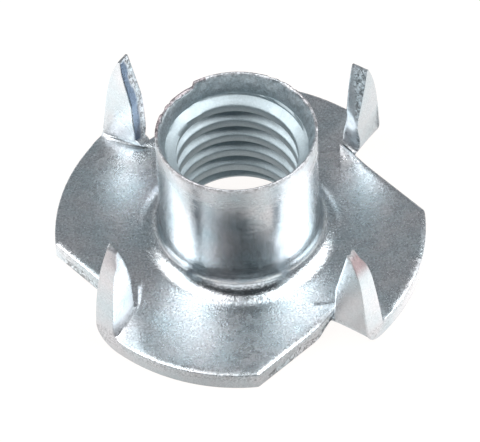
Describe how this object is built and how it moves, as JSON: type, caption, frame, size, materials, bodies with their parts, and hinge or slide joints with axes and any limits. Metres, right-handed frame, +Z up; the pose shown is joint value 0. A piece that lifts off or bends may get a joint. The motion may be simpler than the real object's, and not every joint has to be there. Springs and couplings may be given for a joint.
{
  "type": "tee nut",
  "caption": "Stamped steel tee nut: a round flange with prongs folded up round a drawn, internally threaded barrel.",
  "frame": {"origin": "on the barrel's axis, on the underside of the flange", "axes": "+Z up the barrel, from the flange towards the lip; +X through one of the corners where a straight cut meets the rim"},
  "size_m": [0.0254, 0.0254, 0.0121],
  "materials": {
    "zinc_plate": "bright clear zinc plate over stamped steel"
  },
  "bodies": {
    "root": {"tee_nut": "zinc_plate"}
  },
  "joints": []
}
